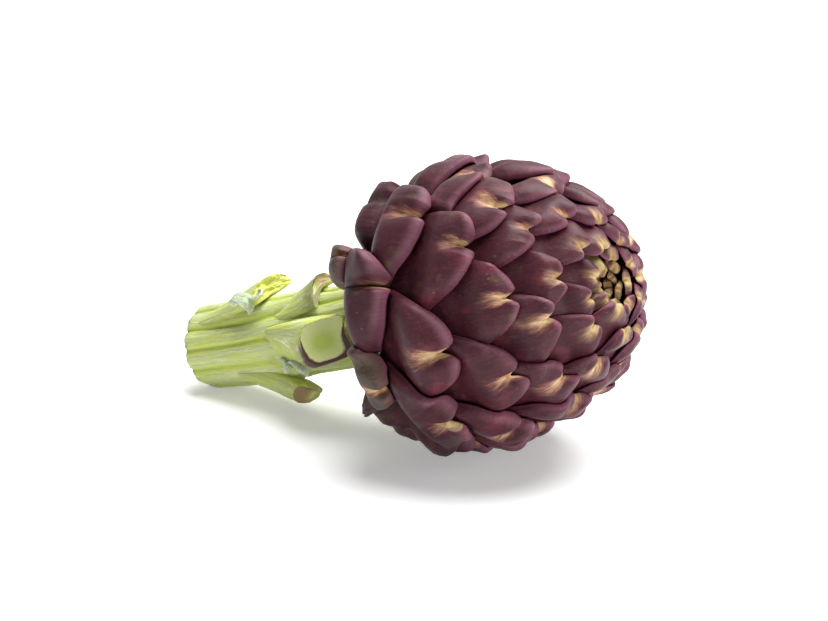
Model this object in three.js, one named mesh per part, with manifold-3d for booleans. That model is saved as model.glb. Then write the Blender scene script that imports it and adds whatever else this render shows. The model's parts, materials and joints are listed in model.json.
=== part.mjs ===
import * as THREE from 'three';
import { mergeVertices } from 'three/addons/utils/BufferGeometryUtils.js';
import Module from 'manifold-3d';

// A purple globe artichoke as picked, lying on its side on a flat surface.
// Millimetres, +Z up. +X runs from the stem's cut end towards the tip of the bud.
// The bracts stand in one golden-angle spiral. Number 0 of the spiral is on the bud's
// widest part, lower numbers are nearer the stem and lie over the higher ones.

const rad = THREE.MathUtils.degToRad;

// ---- Driving dimensions ------------------------------------------------------------

const HEAD_CENTRE = new THREE.Vector3(26.9, 0.5, 50.6); // on the axis, where it is widest
const HEAD_RADIUS = 50.8; // to the notches of the bracts' tips
const HEAD_TILT = rad(18.2); // how far the bud's axis rises above the surface
const EGG = 0.037; // share by which the tip's half is fuller than the stem's half
const OVAL = 0.032; // share by which the two ends reach out over a round bud
const EGG_SHIFT = 11.4; // how far both ends are moved towards the tip, along the axis
const NECK_ANGLE = rad(159); // where the lowest bract's base meets the stem
const BASE_STEP = rad(1.1); // how much nearer the tip each next bract is rooted, at most

const HEART_RADIUS = 38; // of the packed middle, across the bud's axis
const HEART_RISE = 6.5; // by which it reaches higher under the bud's tip
const HEART_FALL = [rad(40), rad(90)]; // angles from the tip between which that fades out

const STEM_RADIUS = 15.4;
const STEM_END_HEIGHT = 13.8; // of the cut end's middle, so that its rim touches the surface
const STEM_LENGTH_X = 113.1; // from the bud's centre back to the cut end
const STEM_SIDE = 7.2; // how far the cut end lies towards -Y
const STEM_RIBS = 11;
const STEM_RIB_HEIGHT = 0.7;

const FIRST_BRACT = -24; // spiral number of the lowest bract, next to the stem
const BRACT_COUNT = 52;
const GOLDEN_TURN = 137.5; // degrees from one bract to the next
const FIRST_TURN = 3.5; // degrees, direction of number 0
const TWIST = 0.008; // degrees, by which the rows curve, times the number squared
// Angle of a bract's tip from the bud's tip, in degrees: a cubic in its number over 5.
const TIP_ANGLE = [66.05, -9.9, 0.603, -0.037];

// A bract's sizes, as shares of the spacing between neighbours.
const WIDTH = 1.46;
const LENGTH = 1.58;
const CROWN = 0.12;
const LOBE = 0.17; // how far the two lobes reach beyond the notch
const SHOULDER = 0.5; // how far the tip's corners fall back
const THICKNESS = 0.075;
const NOTCH_DEPTH = 0.05;
const TIP_LEVEL = -0.3; // mm, of a tip over the bud's radius, before its crown
const EDGE_THICKNESS = 0.9; // mm
const SLOPE = 0.13; // rise per mm from a bract's base to its tip
const GAP = 0.4; // between a bract and what it lies on
// Steps, in cells of its grid, searched around each point for what lies under it.
const NEARBY = [-0.6, -0.3, 0, 0.3, 0.6];

const PURPLE = 0x4f2a3d;
const OLIVE_PURPLE = 0x5a4a3c;
const STEM_GREEN = 0x9cab5f;
const STALK_GREEN = 0xa3aa62;
const WOOLLY_GREEN = 0xa9b68c;
const HEART_YELLOW = 0x8f8248;

// ---- The bud's own directions --------------------------------------------------------

const AXIS = new THREE.Vector3(Math.cos(HEAD_TILT), 0, Math.sin(HEAD_TILT));
const SIDE = new THREE.Vector3(0, -1, 0);
const UNDER = new THREE.Vector3().crossVectors(AXIS, SIDE);

// Unit vector that points away from the bud's axis, at this turn around it.
function outward(turn) {
  return new THREE.Vector3()
    .addScaledVector(SIDE, Math.cos(turn))
    .addScaledVector(UNDER, Math.sin(turn));
}

// Distance from the bud's centre to the level of the bracts' tips, before the egg's shift.
function budLevel(angle) {
  return HEAD_RADIUS * (1 + EGG * Math.cos(angle) + OVAL * Math.cos(2 * angle));
}

function heartLevel(angle) {
  return HEART_RADIUS + HEART_RISE * (1 - THREE.MathUtils.smoothstep(angle, ...HEART_FALL));
}

// The point at this level in a direction from the bud's centre.
function pointAt(direction, level) {
  const shift = EGG_SHIFT * direction.dot(AXIS) ** 2;
  return HEAD_CENTRE.clone().addScaledVector(direction, level).addScaledVector(AXIS, shift);
}

// How much longer a step towards the stem is on the egg than on a round bud.
function stretch(angle) {
  const across = Math.cos(angle);
  const along = Math.sin(angle) + (EGG_SHIFT / HEAD_RADIUS) * Math.sin(2 * angle);
  return Math.hypot(across, along);
}

// Closed mesh from rings of points: every ring has the same count, ends are capped.
function loft(rings) {
  const count = rings[0].length;
  const points = rings.flat();
  const faces = [];
  for (let r = 0; r + 1 < rings.length; r++) {
    for (let i = 0; i < count; i++) {
      const a = r * count + i;
      const b = r * count + ((i + 1) % count);
      faces.push(a, b, b + count, a, b + count, a + count);
    }
  }
  for (const [ring, flip] of [[0, true], [rings.length - 1, false]]) {
    const middle = new THREE.Vector3();
    rings[ring].forEach((p) => middle.add(p));
    const centre = points.push(middle.divideScalar(count)) - 1;
    for (let i = 0; i < count; i++) {
      const a = ring * count + i;
      const b = ring * count + ((i + 1) % count);
      faces.push(...(flip ? [centre, b, a] : [centre, a, b]));
    }
  }
  return geometryOf(points, faces);
}

function geometryOf(points, faces) {
  const geometry = new THREE.BufferGeometry().setFromPoints(points);
  geometry.setIndex(faces);
  return geometry;
}

// ---- Cutting one closed mesh with another ----------------------------------------------

const wasm = await Module();
wasm.setup();

function solidOf(geometry) {
  const bare = geometry.clone();
  bare.deleteAttribute('normal');
  bare.deleteAttribute('uv');
  const merged = mergeVertices(bare, 1e-4);
  return new wasm.Manifold(new wasm.Mesh({
    numProp: 3,
    vertProperties: merged.attributes.position.array,
    triVerts: new Uint32Array(merged.index.array),
  }));
}

function cut(geometry, ...tools) {
  let solid = solidOf(geometry);
  for (const tool of tools) solid = solid.subtract(solidOf(tool));
  const mesh = solid.getMesh();
  const result = new THREE.BufferGeometry();
  result.setAttribute('position', new THREE.BufferAttribute(mesh.vertProperties.slice(), 3));
  result.setIndex(new THREE.BufferAttribute(mesh.triVerts.slice(), 1));
  return result;
}

const BELOW_SURFACE = new THREE.BoxGeometry(400, 400, 40).translate(0, 0, -20);

function cutAtSurface(geometry) {
  geometry.computeBoundingBox();
  return geometry.boundingBox.min.z < 0 ? cut(geometry, BELOW_SURFACE) : geometry;
}

// ---- Stem ----------------------------------------------------------------------------

const STEM_END = new THREE.Vector3(-STEM_LENGTH_X, -STEM_SIDE, STEM_END_HEIGHT - HEAD_CENTRE.z)
  .add(HEAD_CENTRE);
const STEM_TOP = HEAD_CENTRE.clone().addScaledVector(AXIS, -22);
const STEM_BEND = HEAD_CENTRE.clone().add(new THREE.Vector3(-62, -2.5, -22));
const stemLine = new THREE.QuadraticBezierCurve3(STEM_END, STEM_BEND, STEM_TOP);

// Point on the stem: share of its length, angle around it from the top towards -Y, and
// height above (or below) the ribbed skin.
function onStem(share, around, height) {
  const centre = stemLine.getPointAt(share);
  const along = stemLine.getTangentAt(share);
  const side = new THREE.Vector3().crossVectors(along, new THREE.Vector3(0, 0, 1)).normalize();
  const up = new THREE.Vector3().crossVectors(side, along);
  const rib = STEM_RIB_HEIGHT * Math.cos(STEM_RIBS * around + 2 * share);
  const flare = 5.5 * THREE.MathUtils.smoothstep(share, 0.72, 0.97);
  const cutEnd = 0.4 * Math.exp(-share / 0.02);
  const reach = STEM_RADIUS - STEM_RIB_HEIGHT + rib + flare - cutEnd + height;
  return centre
    .addScaledVector(up, Math.cos(around) * reach)
    .addScaledVector(side, Math.sin(around) * reach);
}

function stemGeometry(grow) {
  const sides = 2 * STEM_RIBS;
  const rings = [];
  for (const share of [0, 0.04, 0.16, 0.3, 0.44, 0.58, 0.7, 0.8, 0.9, 1]) {
    const ring = [];
    for (let i = 0; i < sides; i++) {
      ring.push(onStem(share, (i / sides) * 2 * Math.PI, grow));
    }
    rings.push(ring);
  }
  return loft(rings);
}

// ---- Heart: the packed middle of the bud ---------------------------------------------------

function heartGeometry(grow) {
  const geometry = new THREE.SphereGeometry(1, 22, 16);
  const turn = new THREE.Quaternion().setFromUnitVectors(new THREE.Vector3(0, 1, 0), AXIS);
  geometry.applyQuaternion(turn);
  const position = geometry.attributes.position;
  const direction = new THREE.Vector3();
  for (let i = 0; i < position.count; i++) {
    direction.fromBufferAttribute(position, i).normalize();
    const level = heartLevel(Math.acos(THREE.MathUtils.clamp(direction.dot(AXIS), -1, 1)));
    position.setXYZ(i, ...pointAt(direction, level + grow));
  }
  return geometry;
}

// ---- Bracts ----------------------------------------------------------------------------

function tipAngle(number) {
  const s = number / 5;
  return rad(TIP_ANGLE.reduce((sum, c, power) => sum + c * s ** power, 0));
}

// Side of the square that holds one bract's share of the bud's surface.
function spacing(number) {
  const step = tipAngle(number - 0.5) - tipAngle(number + 0.5);
  const angle = tipAngle(number);
  return HEAD_RADIUS * Math.sqrt(2 * Math.PI * Math.sin(angle) * step * stretch(angle));
}

class Bract {
  constructor(number) {
    this.number = number;
    this.tip = tipAngle(number);
    this.turn = rad(FIRST_TURN + GOLDEN_TURN * number + TWIST * number ** 2);
    this.out = outward(this.turn);
    this.across = outward(this.turn + Math.PI / 2);
    this.size = spacing(number);
    this.half = (WIDTH * this.size) / 2;
    this.radius = HEAD_RADIUS * stretch(this.tip + rad(12));
    const root = NECK_ANGLE - BASE_STEP * (number - FIRST_BRACT);
    const room = this.radius * Math.max(root - this.tip, NECK_ANGLE - rad(145));
    this.length = Math.min(LENGTH * this.size, room);
    this.rows = number < 14 ? 6 : 5;
    this.columns = number < 14 ? 6 : 4;
  }

  // How far the tip's edge lies behind the notch, at this share across (-1 to 1).
  edge(v) {
    const shoulder = SHOULDER * this.size * (1 - Math.sqrt(Math.max(0, 1 - 0.96 * v * v)));
    const lobe = LOBE * this.size * Math.sin(Math.min(1, Math.abs(v) / 0.42) * Math.PI / 2);
    return shoulder - lobe;
  }

  halfWidth(u) {
    const base = THREE.MathUtils.smoothstep(u, 0.35, 1);
    return this.half * (0.96 + 0.04 * Math.min(1, u / 0.3) - 0.28 * base);
  }

  // Place on the sheet: u from the tip's edge (0) to the base (1), v across it.
  behind(u, v) {
    return this.edge(v) * (1 - u) + this.length * u;
  }

  direction(u, v) {
    const angle = this.tip + this.behind(u, v) / this.radius;
    const side = (v * this.halfWidth(u)) / HEAD_RADIUS;
    return new THREE.Vector3()
      .addScaledVector(AXIS, Math.cos(angle))
      .addScaledVector(this.out, Math.sin(angle))
      .multiplyScalar(Math.cos(side))
      .addScaledVector(this.across, Math.sin(side));
  }

  // The sheet's u and v below a direction from the bud's centre.
  place(direction) {
    const side = Math.asin(THREE.MathUtils.clamp(direction.dot(this.across), -1, 1));
    const angle = Math.atan2(direction.dot(this.out), direction.dot(AXIS));
    const behind = (angle - this.tip) * this.radius;
    let u = behind / this.length;
    let v = 0;
    for (let i = 0; i < 6; i++) {
      v = (side * HEAD_RADIUS) / this.halfWidth(THREE.MathUtils.clamp(u, 0, 1));
      const edge = this.edge(THREE.MathUtils.clamp(v, -1, 1));
      u = (behind - edge) / (this.length - edge);
    }
    return [u, v];
  }

  thickness(u, v) {
    const edge = Math.max(Math.abs(v), 1 - 4 * u);
    const full = Math.max(EDGE_THICKNESS, THICKNESS * this.size);
    return THREE.MathUtils.lerp(full, EDGE_THICKNESS, THREE.MathUtils.smoothstep(edge, 0.3, 1));
  }

  // Height of the outer face over the bud's radius, before it is laid on the others.
  freeHeight(u, v) {
    const behind = this.behind(u, v);
    const dome = 1 - THREE.MathUtils.smoothstep(u, 0.3, 0.95);
    const crown = CROWN * this.size * (1 - v * v) * dome;
    const notch = Math.exp(-((v / 0.16) ** 2) - (Math.max(0, behind) / (0.2 * this.size)) ** 2);
    return TIP_LEVEL - SLOPE * behind + crown - NOTCH_DEPTH * this.size * notch;
  }

  // Lays the bract on the heart and on the bracts with higher numbers.
  lay(core, laid) {
    this.outer = [];
    this.inner = [];
    for (let i = 0; i <= this.rows; i++) {
      for (let j = 0; j <= this.columns; j++) {
        const u = i / this.rows;
        const v = (2 * j) / this.columns - 1;
        const below = this.levelBelow(u, v, core, laid) + GAP;
        const free = budLevel(this.angleAt(u, v)) + this.freeHeight(u, v);
        const thickness = this.thickness(u, v);
        const foot = THREE.MathUtils.smoothstep(u, 0.6, 0.95);
        const inner = Math.max(below, THREE.MathUtils.lerp(free - thickness, below, foot));
        this.inner.push(inner);
        this.outer.push(Math.max(free, inner + thickness));
      }
    }
  }

  angleAt(u, v) {
    return Math.acos(this.direction(u, v).dot(AXIS));
  }

  levelBelow(u, v, core, laid) {
    let level = 0;
    for (const du of NEARBY) {
      for (const dv of NEARBY) {
        const d = this.direction(u + du / this.rows, v + (2 * dv) / this.columns);
        level = Math.max(level, core(d));
        for (const other of laid) level = Math.max(level, other.levelAt(d));
      }
    }
    return level;
  }

  // Outer face's distance from the bud's centre along a direction, 0 where there is none.
  levelAt(direction) {
    if (direction.dot(this.middle ??= this.direction(0.45, 0)) < 0.75) return 0;
    const [u, v] = this.place(direction);
    if (u < -0.04 || u > 1.04 || Math.abs(v) > 1.04) return 0;
    const row = THREE.MathUtils.clamp(u, 0, 1) * this.rows;
    const column = (THREE.MathUtils.clamp(v, -1, 1) + 1) / 2 * this.columns;
    const i = Math.min(Math.floor(row), this.rows - 1);
    const j = Math.min(Math.floor(column), this.columns - 1);
    const at = (r, c) => this.outer[r * (this.columns + 1) + c];
    const lerp = THREE.MathUtils.lerp;
    const near = lerp(at(i, j), at(i, j + 1), column - j);
    const far = lerp(at(i + 1, j), at(i + 1, j + 1), column - j);
    return lerp(near, far, row - i);
  }

  geometry() {
    const points = [];
    const faces = [];
    const across = this.columns + 1;
    const count = (this.rows + 1) * across;
    for (const heights of [this.outer, this.inner]) {
      for (let i = 0; i <= this.rows; i++) {
        for (let j = 0; j <= this.columns; j++) {
          const d = this.direction(i / this.rows, (2 * j) / this.columns - 1);
          points.push(pointAt(d, heights[i * across + j]));
        }
      }
    }
    const quad = (a, b, c, d) => faces.push(a, b, c, a, c, d);
    for (let i = 0; i < this.rows; i++) {
      for (let j = 0; j < this.columns; j++) {
        const a = i * across + j;
        quad(a, a + across, a + across + 1, a + 1);
        quad(count + a, count + a + 1, count + a + across + 1, count + a + across);
      }
    }
    const wall = (a, b) => quad(a, b, b + count, a + count);
    for (let j = 0; j < this.columns; j++) {
      wall(j, j + 1);
      wall(this.rows * across + j + 1, this.rows * across + j);
    }
    for (let i = 0; i < this.rows; i++) {
      wall((i + 1) * across, i * across);
      wall(i * across + this.columns, (i + 1) * across + this.columns);
    }
    return geometryOf(points, faces);
  }
}

// What lies under the bracts: the heart, and near the neck the stem's flared top.
function levelOfCore(direction) {
  const angle = Math.acos(THREE.MathUtils.clamp(direction.dot(AXIS), -1, 1));
  const stem = angle > rad(120) ? (STEM_RADIUS + 2.5) / Math.sin(angle) : 0;
  return Math.max(heartLevel(angle), Math.min(stem, HEAD_RADIUS - 5));
}

// ---- Leaf stalks and leaflets ----------------------------------------------------------------

// A stalk base that leaves the stem along it: a row of stations, each with its share of the
// stem's length, angle around it, height over the skin, half width and half thickness.
const STALK_SIDES = 12;

function stalkGeometry(stations) {
  const line = stations.map((s) => onStem(s.share, s.around, s.height));
  const rings = stations.map((s, n) => {
    const ahead = line[Math.min(n + 1, line.length - 1)];
    const back = line[Math.max(n - 1, 0)];
    const along = ahead.clone().sub(back).normalize();
    const out = line[n].clone().sub(stemLine.getPointAt(s.share)).normalize();
    const across = new THREE.Vector3().crossVectors(along, out).normalize();
    const up = new THREE.Vector3().crossVectors(across, along);
    const ring = [];
    for (let i = 0; i < STALK_SIDES; i++) {
      const a = (i / STALK_SIDES) * 2 * Math.PI;
      const bow = -0.5 * s.thick * Math.cos(a) ** 2;
      ring.push(line[n].clone()
        .addScaledVector(across, -Math.cos(a) * s.wide)
        .addScaledVector(up, Math.sin(a) * s.thick + bow));
    }
    return ring;
  });
  return loft(rings);
}

const STALKS = {
  stalk_top: [
    { share: 0.15, around: rad(-8), height: -3, wide: 7, thick: 2 },
    { share: 0.28, around: rad(-6), height: 1.8, wide: 7.5, thick: 2.4 },
    { share: 0.41, around: rad(-2), height: 4, wide: 6.5, thick: 2.2 },
  ],
  stalk_back: [
    { share: 0.46, around: rad(16), height: -3, wide: 7, thick: 2.4 },
    { share: 0.56, around: rad(13), height: 1.5, wide: 7, thick: 2.8 },
    { share: 0.63, around: rad(10), height: 4, wide: 6, thick: 2.6 },
  ],
  stalk_front: [
    { share: 0.45, around: rad(92), height: -4, wide: 9, thick: 3 },
    { share: 0.62, around: rad(92), height: 2.6, wide: 9.5, thick: 5.5 },
    { share: 0.76, around: rad(91), height: 8.5, wide: 9.5, thick: 7 },
  ],
  stalk_lower: [
    { share: 0.25, around: rad(160), height: -3, wide: 7, thick: 2.2 },
    { share: 0.37, around: rad(160), height: 2.2, wide: 7, thick: 3 },
    { share: 0.46, around: rad(160), height: 7.5, wide: 5.5, thick: 2.8 },
  ],
};

const LEAFLETS = {
  leaflet_top: [
    { share: 0.2, around: rad(36), height: 0.6, wide: 1.2, thick: 0.9 },
    { share: 0.26, around: rad(38), height: 2.2, wide: 2.6, thick: 1.2 },
    { share: 0.33, around: rad(40), height: 2.6, wide: 2.2, thick: 1.1 },
  ],
  leaflet_front: [
    { share: 0.33, around: rad(124), height: 0.6, wide: 1.4, thick: 0.9 },
    { share: 0.41, around: rad(130), height: 2.4, wide: 2.6, thick: 1.2 },
    { share: 0.5, around: rad(134), height: 2.6, wide: 2.2, thick: 1.1 },
  ],
};

// ---- The artichoke -----------------------------------------------------------------------------

const artichoke = new THREE.Group();

function add(name, geometry, color, roughness) {
  const material = new THREE.MeshStandardMaterial({ color, roughness, metalness: 0 });
  const mesh = new THREE.Mesh(geometry, material);
  mesh.name = name;
  artichoke.add(mesh);
}

add('bud_heart', heartGeometry(0), HEART_YELLOW, 0.6);
add('stem', cutAtSurface(cut(stemGeometry(0), heartGeometry(0.35))), STEM_GREEN, 0.6);

const laid = [];
for (let number = FIRST_BRACT + BRACT_COUNT - 1; number >= FIRST_BRACT; number--) {
  const bract = new Bract(number);
  bract.lay(levelOfCore, laid);
  laid.push(bract);
}
const grownStem = stemGeometry(0.35);
for (const bract of laid) {
  const place = String(bract.number - FIRST_BRACT + 1).padStart(2, '0');
  const nearStem = bract.tip > rad(100);
  const shape = cutAtSurface(bract.geometry());
  const color = nearStem ? OLIVE_PURPLE : PURPLE;
  add(`bract_${place}`, nearStem ? cut(shape, grownStem) : shape, color, 0.5);
}

for (const [name, stations] of Object.entries(STALKS)) {
  add(name, cutAtSurface(cut(stalkGeometry(stations), grownStem)), STALK_GREEN, 0.6);
}
for (const [name, stations] of Object.entries(LEAFLETS)) {
  add(name, cutAtSurface(cut(stalkGeometry(stations), grownStem)), WOOLLY_GREEN, 0.8);
}

export default artichoke;
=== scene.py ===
"""A purple globe artichoke as picked, lying on its side on a pale surface.

The bracts of the bud stand in one golden-angle spiral. Number 0 of the spiral has its notch
about 66 degrees round from the bud's tip. Lower numbers are nearer the stem and lie over the
higher ones. They are laid from the inside out, each on the ones that are already there.
Lengths are in metres.
"""

import json
import math
import random

import bpy
from mathutils import Matrix, Vector

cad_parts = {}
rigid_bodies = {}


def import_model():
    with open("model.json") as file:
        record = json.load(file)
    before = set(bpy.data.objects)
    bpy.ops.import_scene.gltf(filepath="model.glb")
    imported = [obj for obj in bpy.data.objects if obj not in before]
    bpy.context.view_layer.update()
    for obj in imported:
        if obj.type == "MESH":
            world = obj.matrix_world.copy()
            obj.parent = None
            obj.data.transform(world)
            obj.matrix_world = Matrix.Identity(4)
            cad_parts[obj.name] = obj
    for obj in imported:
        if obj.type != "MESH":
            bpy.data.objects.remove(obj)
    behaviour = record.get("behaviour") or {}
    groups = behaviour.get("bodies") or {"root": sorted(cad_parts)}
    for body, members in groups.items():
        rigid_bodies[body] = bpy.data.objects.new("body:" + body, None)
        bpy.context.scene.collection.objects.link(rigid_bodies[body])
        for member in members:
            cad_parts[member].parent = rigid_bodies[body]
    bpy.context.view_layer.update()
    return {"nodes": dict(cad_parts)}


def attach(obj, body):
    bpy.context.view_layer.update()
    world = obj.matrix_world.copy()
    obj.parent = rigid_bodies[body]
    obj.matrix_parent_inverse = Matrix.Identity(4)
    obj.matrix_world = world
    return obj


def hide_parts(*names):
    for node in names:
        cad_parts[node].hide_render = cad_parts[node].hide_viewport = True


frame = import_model()

MM = 0.001
rad = math.radians

# ---- The bud's form, as in the part ---------------------------------------------------------

HEAD_CENTRE = Vector((26.9, 0.5, 50.6)) * MM  # on the axis, where it is widest
HEAD_RADIUS = 50.8 * MM  # to the notches of the bracts' tips
HEAD_TILT = rad(18.2)  # how far the bud's axis rises above the surface
EGG = 0.037  # share by which the tip's half is fuller than the stem's half
OVAL = 0.032  # share by which the two ends reach out over a round bud
EGG_SHIFT = 11.4 * MM  # how far both ends are moved towards the tip, along the axis
NECK_ANGLE = rad(159)  # where the lowest bract's base meets the stem
BASE_STEP = rad(1.1)  # how much nearer the tip each next bract is rooted
FIRST_BRACT = -24  # the lowest, next to the stem
CAD_BRACTS = 52  # so many of them, from the lowest on, are pieces of the part
LAST_BRACT = 56  # the innermost, in the eye of the bud
EYE_BRACT = 34  # from this number on, the bracts close in on the eye ever more slowly
EYE_RATE = 13.0  # in so many numbers, the angle from the bud's tip falls to 0.37 of itself
GOLDEN_TURN = rad(137.5)  # from one bract to the next
FIRST_TURN = rad(3.5)  # direction of number 0
TWIST = rad(0.008)  # by which the rows curve, times the number squared
TIP_ANGLE = (66.05, -9.9, 0.603, -0.037)  # degrees, a cubic in the number over 5

AXIS = Vector((math.cos(HEAD_TILT), 0, math.sin(HEAD_TILT)))
SIDE = Vector((0, -1, 0))
UNDER = AXIS.cross(SIDE)


def outward(turn):
    """Unit vector away from the bud's axis, at this turn around it."""
    return SIDE * math.cos(turn) + UNDER * math.sin(turn)


def tip_angle(number):
    """Angle between the bud's tip and the notch of a bract."""
    s = min(number, EYE_BRACT) / 5
    angle = rad(sum(c * s ** power for power, c in enumerate(TIP_ANGLE)))
    return angle * math.exp(min(0, EYE_BRACT - number) / EYE_RATE)


def stretch(angle):
    """How much longer a step towards the stem is on the egg than on a round bud."""
    along = math.sin(angle) + EGG_SHIFT / HEAD_RADIUS * math.sin(2 * angle)
    return math.hypot(math.cos(angle), along)


def spacing(number):
    """Side of the square that holds one bract's share of the bud's surface."""
    step = tip_angle(number - 0.5) - tip_angle(number + 0.5)
    angle = tip_angle(number)
    return HEAD_RADIUS * math.sqrt(2 * math.pi * math.sin(angle) * step * stretch(angle))


def place_of(number):
    """1 for the lowest bract, and one more for each further in."""
    return number - FIRST_BRACT + 1


def between(number, start, end):
    """0 up to start, 1 from end on, and in even steps between them."""
    return min(max((number - start) / (end - start), 0), 1)


# ---- Node trees ------------------------------------------------------------------------------


def add_node(tree, kind, **settings):
    made = tree.nodes.new(kind)
    for name, value in settings.items():
        setattr(made, name, value)
    return made


def feed(tree, socket, value):
    """Puts a plain value in a socket, or links the field to it."""
    if isinstance(value, Field):
        tree.links.new(value.socket, socket)
    elif isinstance(value, bpy.types.NodeSocket):
        tree.links.new(value, socket)
    else:
        socket.default_value = value


class Field:
    """A number or vector in a node tree. Arithmetic on it adds Math or Vector Math nodes."""

    def __init__(self, tree, socket):
        self.tree = tree
        self.socket = socket
        self.is_vector = socket.type == "VECTOR"

    def op(self, operation, *values):
        vector = any(isinstance(v, Field) and v.is_vector for v in values)
        kind = "ShaderNodeVectorMath" if vector else "ShaderNodeMath"
        made = add_node(self.tree, kind, operation=operation)
        for socket, value in zip(made.inputs, values):
            feed(self.tree, socket, value)
        outputs = [socket for socket in made.outputs if socket.enabled]
        return Field(self.tree, outputs[0])

    def __add__(self, other):
        return self.op("ADD", self, other)

    __radd__ = __add__

    def __sub__(self, other):
        return self.op("SUBTRACT", self, other)

    def __rsub__(self, other):
        return self.op("SUBTRACT", other, self)

    def __mul__(self, other):
        if not self.is_vector and isinstance(other, Field) and other.is_vector:
            return other * self
        if self.is_vector and not (isinstance(other, Field) and other.is_vector):
            made = add_node(self.tree, "ShaderNodeVectorMath", operation="SCALE")
            feed(self.tree, made.inputs[0], self)
            feed(self.tree, made.inputs["Scale"], other)
            return Field(self.tree, made.outputs[0])
        return self.op("MULTIPLY", self, other)

    __rmul__ = __mul__

    def __truediv__(self, other):
        return self.op("DIVIDE", self, other)

    def __pow__(self, power):
        return self.op("POWER", self, power)

    def __neg__(self):
        return self * -1.0

    def __abs__(self):
        return self.op("ABSOLUTE", self)

    def dot(self, other):
        made = add_node(self.tree, "ShaderNodeVectorMath", operation="DOT_PRODUCT")
        feed(self.tree, made.inputs[0], self)
        feed(self.tree, made.inputs[1], other)
        return Field(self.tree, made.outputs["Value"])

    def parts(self):
        made = add_node(self.tree, "ShaderNodeSeparateXYZ")
        feed(self.tree, made.inputs[0], self)
        return [Field(self.tree, socket) for socket in made.outputs]


def sin(x):
    return x.op("SINE", x)


def cos(x):
    return x.op("COSINE", x)


def arccos(x):
    return x.op("ARCCOSINE", x)


def square_root(x):
    return x.op("SQRT", x.op("MAXIMUM", x, 0.0))


def sign_of(x):
    return x.op("SIGN", x)


def unit(x):
    return x.op("NORMALIZE", x)


def cross(a, b):
    return a.op("CROSS_PRODUCT", a, b)


def bell(x):
    """exp(-x²): 1 at nought, fading to both sides."""
    return x.op("EXPONENT", x * x * -1.0)


def larger(a, b):
    return a.op("MAXIMUM", a, b)


def smaller(a, b):
    return a.op("MINIMUM", a, b)


def rounded(x):
    """A quarter circle: 0 at nought, steep there, and level at 1 from one on."""
    short = 1.0 - limit(x)
    return square_root(1.0 - short * short)


def round_larger(a, b, distance):
    """The larger of two, with a soft change from one to the other over a distance."""
    return a.op("SMOOTH_MAX", a, b, distance)


def limit(x):
    return smaller(larger(x, 0.0), 1.0)


def rise(x, start, end):
    """0 before start, 1 after end, and smooth between them."""
    made = add_node(x.tree, "ShaderNodeMapRange", interpolation_type="SMOOTHSTEP")
    for name, value in (("Value", x), ("From Min", start), ("From Max", end)):
        feed(x.tree, made.inputs[name], value)
    return Field(x.tree, made.outputs["Result"])


def mix(a, b, share):
    return share * (b - a) + a


def vector(tree, x, y, z):
    made = add_node(tree, "ShaderNodeCombineXYZ")
    for socket, value in zip(made.inputs, (x, y, z)):
        feed(tree, socket, value)
    return Field(tree, made.outputs[0])


def above_surface(place):
    """A place, lifted onto the surface that the artichoke lies on where it is under it."""
    x, y, z = place.parts()
    return vector(place.tree, x, y, larger(z, 0.0))


def noise(tree, place, scale, detail=2.0, roughness=0.5):
    """Smooth noise from 0 to 1 at a place, given as a field or as its three parts."""
    if isinstance(place, tuple):
        place = vector(tree, *place)
    made = add_node(tree, "ShaderNodeTexNoise")
    feed(tree, made.inputs["Vector"], place)
    feed(tree, made.inputs["Scale"], scale)
    made.inputs["Detail"].default_value = detail
    made.inputs["Roughness"].default_value = roughness
    return Field(tree, made.outputs[0])


WELD = 0.002 * MM


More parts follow.
